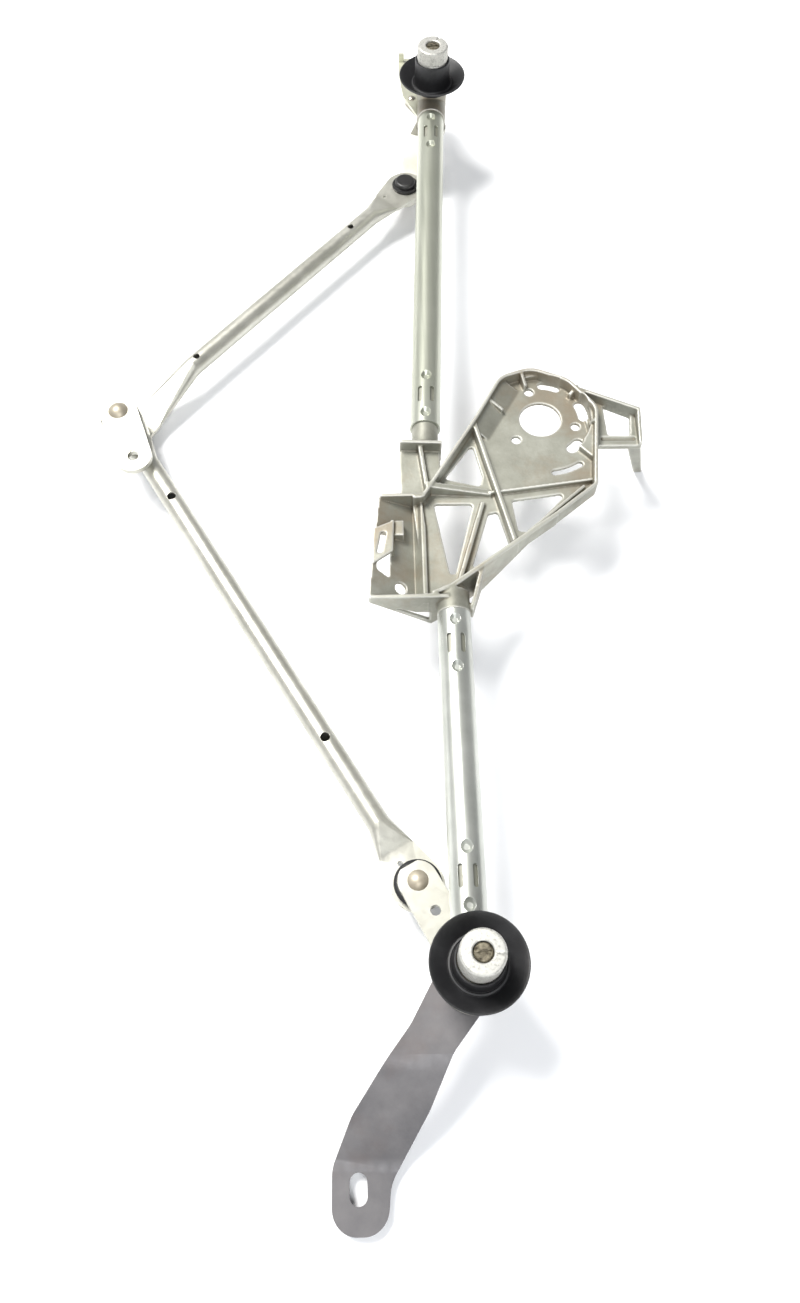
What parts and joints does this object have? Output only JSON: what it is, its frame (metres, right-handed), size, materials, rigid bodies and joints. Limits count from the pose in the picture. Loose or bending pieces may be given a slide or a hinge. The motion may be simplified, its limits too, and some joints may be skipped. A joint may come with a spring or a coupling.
{
  "type": "windshield wiper linkage",
  "caption": "Windshield wiper linkage without motor: crimped tubes join two pivot housings and a cast motor bracket, with cranks, link rods and rubber boots.",
  "frame": {"origin": "on the axis of the lower spindle, at mid-height of its drive head", "axes": "+Z along both spindles towards the wiper arms, +Y from the lower spindle to the upper one"},
  "size_m": [0.4202, 0.9377, 0.116],
  "materials": {
    "die_cast": "as cast, dull, lightly stained",
    "zinc_tube": "bright zinc plating, smooth",
    "zinc_sheet": "bright zinc plating on pressed sheet",
    "arm_steel": "dark plated stamped steel, satin",
    "lug_steel": "zinc-plated stamped steel",
    "rivet_steel": "plated steel",
    "spindle_steel": "machined steel, slightly yellowed",
    "head_aluminium": "machined and knurled, matt",
    "passivated_stud": "yellow passivated steel",
    "bronze": "sintered bearing bronze",
    "black_rubber": "soft moulded rubber, semi-matt",
    "black_plastic": "moulded plastic with a faint sheen"
  },
  "bodies": {
    "frame": {"motor_bracket": "die_cast", "upper_tube": "zinc_tube", "lower_tube": "zinc_tube", "lower_pivot_housing": "die_cast", "upper_pivot_housing": "die_cast", "mounting_arm": "arm_steel", "mounting_arm_rivets": "rivet_steel", "upper_mounting_lug": "lug_steel", "upper_lug_rivets": "rivet_steel", "lower_boot": "black_rubber", "lower_bush_bottom": "bronze", "lower_bush_top": "bronze", "upper_boot": "black_rubber", "upper_bush_bottom": "bronze", "upper_bush_top": "bronze"},
    "lower_spindle_body": {"lower_spindle": "spindle_steel", "lower_drive_head": "head_aluminium", "lower_top_washer": "rivet_steel", "lower_retaining_ring": "rivet_steel", "lower_thrust_washer": "rivet_steel", "lower_crank": "zinc_sheet", "lower_ball_stud": "passivated_stud"},
    "upper_spindle_body": {"upper_spindle": "spindle_steel", "upper_drive_head": "head_aluminium", "upper_top_washer": "rivet_steel", "upper_retaining_ring": "rivet_steel", "upper_thrust_washer": "rivet_steel", "upper_crank": "zinc_sheet", "upper_ball_stud": "passivated_stud"},
    "lower_rod_body": {"lower_link_rod": "zinc_sheet", "lower_rod_crank_socket": "black_plastic", "lower_rod_motor_socket": "black_plastic", "lower_rod_crank_seal": "black_rubber", "lower_rod_motor_seal": "black_rubber"},
    "upper_rod_body": {"upper_link_rod": "zinc_sheet", "upper_rod_crank_socket": "black_plastic", "upper_rod_motor_socket": "black_plastic"},
    "motor_crank_body": {"motor_crank": "zinc_sheet", "motor_crank_stud": "passivated_stud"}
  },
  "joints": [
    {"name": "lower_spindle_turn", "type": "hinge", "parent": "frame", "child": "lower_spindle_body", "pos_m": [0, 0, 0], "axis": [0, 0, 1], "range_deg": [-15, 15]},
    {"name": "upper_spindle_turn", "type": "hinge", "parent": "frame", "child": "upper_spindle_body", "pos_m": [0, 0.739, 0], "axis": [0, 0, 1], "range_deg": [-15.5, 15.5]},
    {"name": "lower_rod_swing", "type": "hinge", "parent": "lower_spindle_body", "child": "lower_rod_body", "pos_m": [-0.0313, 0.0571, -0.077], "axis": [0, 0, 1], "range_deg": [-19, 19]},
    {"name": "upper_rod_swing", "type": "hinge", "parent": "upper_spindle_body", "child": "upper_rod_body", "pos_m": [-0.0243, 0.6786, -0.08], "axis": [0, 0, 1], "range_deg": [-19, 19]},
    {"name": "motor_crank_swivel", "type": "hinge", "parent": "lower_rod_body", "child": "motor_crank_body", "pos_m": [-0.249, 0.4223, -0.077], "axis": [0, 0, 1], "continuous": true}
  ],
  "couplings": [
    {"joint": "upper_spindle_turn", "follows": "lower_spindle_turn", "ratio": 1},
    {"joint": "lower_rod_swing", "follows": "lower_spindle_turn", "ratio": -1.2015},
    {"joint": "upper_rod_swing", "follows": "lower_spindle_turn", "ratio": -1.1645}
  ]
}
